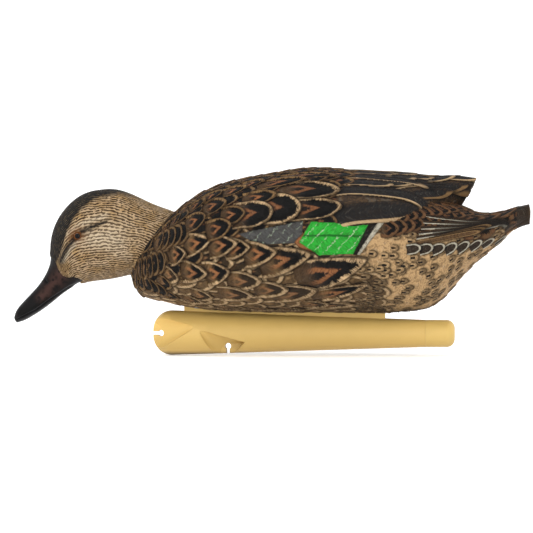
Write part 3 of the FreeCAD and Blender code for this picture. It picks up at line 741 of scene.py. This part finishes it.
def head_material():
    """Rows of fine wavy ridges that run back from the bill, cream on brown, under a dark crown and a dark
    line through the eye."""
    material, shader, where = new_material("painted_head", roughness=0.7, specular=0.15)
    shape = where.node("ShaderNodeAttribute", output=1, attribute_name="shape")
    mark = where.node("ShaderNodeAttribute", output=1, attribute_name="mark")
    along, around = shape.axis(0), shape.axis(1)
    wander = where.noise(130, 2.0)
    broken = (along * 0.5 + wander * 0.8).vector(around * 0.9 + wander * 2.0).noise(1.0, 1.0, 0.2)
    row = (around * 4.2 + wander * 11.0 + broken * 3.0).math("SINE") * 0.5 + 0.5
    ripple = row * 0.36 + broken * 1.0 - 0.17
    fine = where.noise(900, 2.0)
    patchy = where.noise(150, 1.0)
    dark, pale, warm = (mark.axis(k) for k in range(3))
    recess = 1 - (ripple + (fine - 0.5) * 0.10).step(0.42, 0.55)
    colour = patchy.step(0.35, 0.65).mix(rgb(HEAD_TAN), rgb(HEAD_SAND))
    colour = (pale * 0.8).mix(colour, rgb(HEAD_PALE))
    colour = (recess * (1 - pale * 0.35)).mix(colour, rgb(HEAD_RECESS))
    colour = warm.mix(colour, rgb(LID_BROWN))
    shade = dark * (1 - ripple.step(0.60, 0.80) * 0.22)
    colour = shade.mix(colour, rgb(CROWN_BLACK))
    connect(shader, colour, ripple + fine * 0.15, depth=0.0016)
    return material


def bill_material():
    """Near-black, with a brown blotched and speckled area at the base, and dark gape and nostrils."""
    material, shader, where = new_material("painted_bill", roughness=0.5, specular=0.08)
    mark = where.node("ShaderNodeAttribute", output=1, attribute_name="mark")
    dots = where.node("ShaderNodeTexVoronoi", {"Vector": where, "Scale": 300.0})
    speck = 1 - dots.step(0.22, 0.34)
    blotch = where.noise(220, 3.0)
    pink = mark.axis(0) * blotch.step(0.26, 0.56)
    colour = pink.mix(rgb(BILL_BLACK), rgb(BILL_BROWN))
    colour = (speck * mark.axis(0)).mix(colour, rgb(BILL_SPECK))
    colour = mark.axis(1).mix(colour, rgb(BILL_LINE))
    connect(shader, colour, blotch, depth=0.0003, strength=0.5)
    return material


def plastic_material(name, colour):
    """Moulded plastic, with painted shade along its lowest edge and painted light that makes it brighter
    towards its top.
    """
    material, shader, where = new_material(name, roughness=0.5, specular=0.3)
    height = where.axis(2)
    grain = where.noise(700, 3.0)
    low, painted_bottom_shade, worn = (rgb(tuple(share * c for c in colour)) for share in (0.86, 0.36, 0.8))
    # Painted light and shade: darker low down and brighter towards the top, as if lit from above.
    tone = height.step(0.004, 0.024).mix(low, rgb(colour))
    # Painted shade: the lowest few millimetres go much darker, as in the shadow under the part.
    tone = (1 - height.step(0.0, 0.0035)).mix(tone, painted_bottom_shade)
    tone = (where.noise(60, 2.0).step(0.3, 0.7) * 0.12).mix(tone, worn)
    connect(shader, tone, grain, depth=0.0001, strength=0.5)
    return material


def eye_material():
    """Black pupil in an orange-brown iris, round the axis of each eye."""
    material, shader, where = new_material("glass_eye", roughness=0.12, specular=0.1)
    low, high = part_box("left_eye")
    dx = where.axis(0) - (low.x + high.x) / 2
    dz = where.axis(2) - (low.z + high.z) / 2
    radius = (dx * dx + dz * dz).math("SQRT") / ((high.x - low.x) / 2)
    iris = radius.step(0.50, 0.60).mix(rgb(PUPIL), rgb(IRIS))
    colour = radius.step(0.78, 0.92).mix(iris, rgb(EYE_RIM))
    connect(shader, colour)
    return material


# ---- Build ----
TAIL_END = 157
TAIL_FACE = 164


def build_body(paint):
    """Body and folded wings. Feathers laid later lie over earlier ones."""
    body = Plumage(BODY_SECTIONS, RINGS["body"], AROUND["body"])
    wing = Plumage(WING_SECTIONS, RINGS["wing"], AROUND["wing"])
    body.lay_rows((-84, 168), step=10.0, half=7.2, length=19.0, gap=10.5, scatter=0.08, choose=filler_style)
    body.lay_rows((58, 156), step=5.6, half=1.9, length=5.0, gap=5.4, scatter=0.22, choose=vent_style)
    for feathers in (RUMP, TAIL, COVERTS):
        body.lay_list(feathers, body)
    for corners, style in PATCHES:
        body.patch(corners, style)
    end = body.place[:, 0] > TAIL_END
    body.ground[end] = linear(DARK_BROWN)
    body.rim[end] = linear(DARK_BROWN)
    body.mark[end] = (0, 0, 1)
    body.shape[body.place[:, 0] > TAIL_FACE] = (0, 0, BARE_OUTLINE)
    for feathers in (FLANK, BREAST, SCAPULARS):
        body.lay_list(feathers, body)
    wing.ground[:] = linear(DARK_BROWN)
    wing.rim[:] = linear(DARK_BROWN)
    wing.mark[:] = (0, 0, 1)
    wing.lay_rows((62, 130), step=13.0, half=4.4, length=34.0, gap=8.5, scatter=0.08, choose=wing_style)
    wing.lay_list(WINGS, wing)
    wing.lay_list(SCAPULARS, body)
    names = [f"plumage_{k + 1}" for k in range(BODY_SEGMENTS)]
    body.pieces(names, paint, "hull", ["body_shell"])
    wing.pieces(["folded_wings"], paint, "hull", [])


# The head's side-view markings: lines of (x, z) points, and the width at each point.
CROWN_EDGE = [(-150, 40), (-134.7, 62.3), (-132.3, 68.5), (-129.2, 78.6), (-125.3, 86.4), (-119.1, 94.2),
              (-111.3, 99.7), (-97.3, 103.0), (-84, 99.5), (-60, 95.0)]
EYE_LINE = ([(-119, 79.0), (-112, 82.0), (-103, 85.5)], (1.8, 1.6, 0.8))
LORE = ([(-124.5, 73.5), (-130, 67.0), (-133.5, 60)], (1.9, 2.0, 2.2))
BROW = ([(-129, 77), (-121, 83), (-104, 89)], (1.6, 1.8, 2.6))
PALE_STREAK = ([(-121, 74), (-128, 66), (-132, 60)], (1.4, 1.4, 1.2))
CHEEK = ([(-114, 75), (-98, 74)], (7.0, 11.0))
LID = ([(-124, 75.5), (-121, 77)], (4.2, 4.2))
BILL_BASE = ([(-132, 52), (-139, 44), (-146, 37)], (5.5, 4.5, 3.0))
GAPE = ([(-118, 47.6), (-128, 43.6), (-140, 35.8), (-150, 28.4), (-162, 22.6)], (0.6,) * 5)
NOSTRIL = ([(-143.8, 47.6), (-142.2, 46.2)], (0.8, 0.8))
MARK_SHIFT = 1.6        # the plumage's markings, but not the bill's, lie this far behind their points

# Where the plumage ends on the bill: degrees down from the top, and place in HEAD_SECTIONS.
LOBE = [(0, 9.9), (46, 9.5), (75, 9.0), (90, 9.15), (112, 8.9), (132, 8.0), (145, 6.3), (156, 5.6),
        (163, 5.3), (172, 6.0), (180, 6.6)]
LOBE_SMOOTHING = 6

CROWN_SOFTNESS = 3.2
CROWN_FADE = (-72, 24)  # where the dark crown ends on the neck, and over what length it fades
MARKS_OFF_MIDDLE = 6

# The head's raised skin: its thickness, the rim at its edge, the lids, and the hollow that holds the eye.
SKIN = 0.35
SKIN_START = 4
RIM_PLACE = 2.0
RIM_SPREAD = 1.6
LID_RISE = 0.8
LID_RADIUS = 4.0
LID_SPREAD = 1.0
EYE_SINK = 1.4
EYE_HOLLOW = 3.0
EYE_SIDE = 8
EDGE_TUCK = -0.8
GAPE_DEPTH = 0.55
NOSTRIL_DEPTH = 0.8
NOSTRIL_SIDE = 3
BILL_OVERLAP = 12
LAST_RING = 1.001       # keeps a ring number just short of the last ring
GIRTH_RADIUS = 22


def near_line(x, z, line):
    """1 on a side-view line, falling off with distance over the line's width there in a bell curve."""
    points, widths = line
    best = np.zeros_like(x)
    for (ax, az), (bx, bz), wa, wb in zip(points, points[1:], widths, widths[1:]):
        dx, dz = bx - ax, bz - az
        share = np.clip(((x - ax) * dx + (z - az) * dz) / (dx ** 2 + dz ** 2), 0, 1)
        away = np.hypot(x - ax - share * dx, z - az - share * dz)
        best = np.maximum(best, np.exp(-((away / (wa + share * (wb - wa))) ** 2)))
    return best


def head_marks(points):
    """Dark crown and eye line, pale brow and cheek, and brown round the eye, per vertex."""
    x, y, z = np.moveaxis(points, -1, 0)
    x = x - MARK_SHIFT
    over = (z - np.interp(x, *zip(*CROWN_EDGE))) / CROWN_SOFTNESS
    crown = np.clip(over + 0.5, 0, 1) * np.clip((CROWN_FADE[0] - x) / CROWN_FADE[1], 0, 1)
    side = np.abs(y) > MARKS_OFF_MIDDLE
    dark = np.maximum(crown, side * np.maximum(near_line(x, z, EYE_LINE), near_line(x, z, LORE)))
    pale = 0.6 * near_line(x, z, BROW) + near_line(x, z, PALE_STREAK) + 0.65 * near_line(x, z, CHEEK)
    lid = near_line(x, z, LID)
    return np.stack([dark, side * np.clip(pale, 0, 1), side * lid * 0.9], -1)


def regrid(points, start, end, rings):
    """The same surface between two ring numbers that may differ from column to column."""
    share = np.linspace(0, 1, rings)[:, None]
    at = np.clip(start + (end - start) * share, 0, len(points) - LAST_RING)
    low = at.astype(int)
    column = np.arange(points.shape[1])[None, :]
    part = (at - low)[..., None]
    return points[low, column] * (1 - part) + points[low + 1, column] * part


def plumage_edge(points, angle):
    """Ring number where the head's plumage ends, per column: the lobe table, smoothed."""
    row = np.interp(np.degrees(angle), *zip(*LOBE))
    count = 2 * LOBE_SMOOTHING + 1
    row = np.concatenate([row[-LOBE_SMOOTHING:], row, row[:LOBE_SMOOTHING]])
    row = np.convolve(row, np.ones(count) / count, "valid")
    top = points[:, 0, :]
    knots = [int(np.hypot(top[:, 0] - r[0], top[:, 2] - r[1]).argmin()) for r in HEAD_SECTIONS]
    return np.interp(row, np.arange(len(knots)), knots)


def build_plume(points, out, angle, edge, paint):
    """Head plumage: a thin raised skin with a rim at its edge on the bill, and lids round a sunken eye."""
    plume = regrid(points, np.zeros_like(edge), edge, RINGS["plume"])
    plume_out = regrid(out, np.zeros_like(edge), edge, RINGS["plume"])
    step = np.linalg.norm(np.diff(plume, axis=0), axis=-1)
    along = np.concatenate([np.zeros((1, step.shape[1])), np.cumsum(step, axis=0)])
    around = angle[None, :] * GIRTH_RADIUS + np.zeros_like(along)
    x, y, z = np.moveaxis(plume, -1, 0)
    away = np.hypot(x - EYE[0], z - EYE[1])
    lid = LID_RISE * np.exp(-(((away - LID_RADIUS) / LID_SPREAD) ** 2))
    lid = lid - EYE_SINK * np.exp(-((away / EYE_HOLLOW) ** 4))
    to_edge = np.linalg.norm(plume[-1] - plume, axis=-1)
    lift = SKIN + SKIN * np.exp(-((to_edge - RIM_PLACE) / RIM_SPREAD) ** 2)
    lift = lift * np.clip(along / SKIN_START, 0, 1) + lid * (np.abs(y) > EYE_SIDE)
    lift[-1] = EDGE_TUCK
    values = {"shape": np.stack([along, around, along], -1), "mark": head_marks(plume)}
    grid_piece("head_plumage", plume + plume_out * lift[..., None], values, paint, "head", ["head_shell"])


def build_bill(points, out, edge, paint):
    """Bill from inside the plumage to the tip, with the gape and the nostrils pressed in."""
    last = np.full_like(edge, len(points) - LAST_RING)
    bill = regrid(points, edge - BILL_OVERLAP, last, RINGS["bill"])
    bill_out = regrid(out, edge - BILL_OVERLAP, last, RINGS["bill"])
    x, y, z = np.moveaxis(bill, -1, 0)
    pink = near_line(x, z, BILL_BASE) * np.clip(np.abs(y) / 5, 0, 1)
    gape = near_line(x, z, GAPE)
    nostril = near_line(x, z, NOSTRIL) * (np.abs(y) > NOSTRIL_SIDE)
    drop = GAPE_DEPTH * gape + NOSTRIL_DEPTH * nostril
    values = {"shape": np.zeros_like(bill), "mark": np.stack([pink, np.maximum(gape, nostril), pink], -1)}
    grid_piece("bill", bill - bill_out * drop[..., None], values, paint, "head", [])


def build_head(paint, bill_paint):
    """Head with a skin of plumage that ends in a lobe on each side of the bill, and the bill inside it."""
    points = skin(HEAD_SECTIONS, RINGS["head"], AROUND["head"])
    out = grid_directions(points)[1]
    angle = np.linspace(0, 2 * math.pi, AROUND["head"], endpoint=False)
    angle = np.minimum(angle, 2 * math.pi - angle)
    edge = plumage_edge(points, angle)
    build_plume(points, out, angle, edge, paint)
    build_bill(points, out, edge, bill_paint)


def paint_node(name, material):
    """Material on one of the part's own nodes."""
    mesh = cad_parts[name].data
    mesh.materials.clear()
    mesh.materials.append(material)


# ---- Studio, in metres and watts ----
FLOOR_RADIUS = 2.2
BEND_RADIUS = 0.8
WALL_TOP = 3.5
FLOOR_DROP = 0.0005
FLOOR_RINGS = [0.1, 1.0]
SWEEP_SIDES = 64
BEND_STEPS = 12
FLOOR_WHITE = (0.92, 0.92, 0.92, 1.0)
PURE_WHITE = (1.0, 1.0, 1.0, 1.0)
FLOOR_GLOW = 0.38
SKY_STRENGTH = 0.2
LAMPS = [   # name, place, size, power
    ("key", (-0.7, -1.2, 1.3), 0.6, 16),
    ("top", (0.1, 0.2, 1.6), 0.9, 7),
    ("fill", (0.3, -1.8, 0.35), 0.8, 8),
]
LAMP_AIM = Vector((0, 0, 0.06))
VIEW_TURN = math.radians(6.0)
VIEW_TILT = math.radians(0.5)
VIEW_DISTANCE = 1.7
VIEW_WIDTH = 0.3397
VIEW_NEAR_CLIP = 0.1
VIEW_AIM = Vector((-0.0018, 0.0, 0.0566))


def link(obj):
    """Put an object in the scene."""
    bpy.context.scene.collection.objects.link(obj)
    return obj


def build_sweep():
    """Pale floor that bends up into a wall on all sides: a profile of radius and height, turned round."""
    floor_z = START_BOX[0][2] - FLOOR_DROP
    bend = np.linspace(0, math.pi / 2, BEND_STEPS)
    bend_radius = FLOOR_RADIUS + BEND_RADIUS * np.sin(bend)
    bend_height = BEND_RADIUS - BEND_RADIUS * np.cos(bend)
    radius = np.concatenate([FLOOR_RINGS, bend_radius, [FLOOR_RADIUS + BEND_RADIUS]])[:, None]
    height = np.concatenate([[0.0, 0.0], bend_height, [WALL_TOP]])[:, None]
    angle = np.linspace(0, 2 * math.pi, SWEEP_SIDES, endpoint=False)[None, :]
    places = np.stack([radius * np.cos(angle), radius * np.sin(angle), floor_z + height + 0 * angle], -1)
    walls, ends = grid_faces(len(radius), SWEEP_SIDES, False)
    mesh = bpy.data.meshes.new("sweep")
    corners = places.reshape(-1, 3).tolist() + [(0, 0, floor_z)]
    mesh.from_pydata(corners, [], walls.tolist() + ends[:SWEEP_SIDES].tolist())
    material, shader, where = new_material("sweep", roughness=0.9, specular=0.1)
    shader.inputs["Base Color"].default_value = FLOOR_WHITE
    shader.inputs["Emission Color"].default_value = PURE_WHITE
    shader.inputs["Emission Strength"].default_value = FLOOR_GLOW
    mesh.materials.append(material)
    mesh.polygons.foreach_set("use_smooth", np.ones(len(mesh.polygons), bool))
    link(bpy.data.objects.new("sweep", mesh))


def aim(obj, place, towards):
    """Put a lamp or camera at a place, looking along a direction."""
    obj.location = place
    obj.rotation_euler = towards.to_track_quat("-Z", "Y").to_euler()


def build_lights():
    """Even white surroundings and three soft lamps."""
    world = bpy.data.worlds.new("studio")
    world.use_nodes = True
    background = next(n for n in world.node_tree.nodes if n.type == "BACKGROUND")
    background.inputs["Color"].default_value = PURE_WHITE
    background.inputs["Strength"].default_value = SKY_STRENGTH
    bpy.context.scene.world = world
    bpy.context.scene.view_settings.view_transform = "Standard"
    for name, place, size, power in LAMPS:
        lamp = bpy.data.lights.new(name, "AREA")
        lamp.size = size
        lamp.energy = power
        aim(link(bpy.data.objects.new(name, lamp)), place, LAMP_AIM - Vector(place))


def build_camera():
    """Long-lens camera at the near side, turned a little to the front."""
    level = math.cos(VIEW_TILT)
    back = Vector((math.sin(VIEW_TURN) * level, -math.cos(VIEW_TURN) * level, math.sin(VIEW_TILT)))
    camera = bpy.data.cameras.new("camera")
    camera.lens = camera.sensor_width * VIEW_DISTANCE / VIEW_WIDTH
    camera.clip_start = VIEW_NEAR_CLIP
    obj = link(bpy.data.objects.new("camera", camera))
    aim(obj, VIEW_AIM + back * VIEW_DISTANCE, -back)
    bpy.context.scene.camera = obj


build_body(plumage_material())
build_head(head_material(), bill_material())
paint_node("keel_shell", plastic_material("keel_plastic", KEEL_YELLOW))
paint_node("keel_end_cap", plastic_material("cap_plastic", CAP_YELLOW))
glass = eye_material()
for eye in ("left_eye", "right_eye"):
    paint_node(eye, glass)
build_sweep()
build_lights()
build_camera()
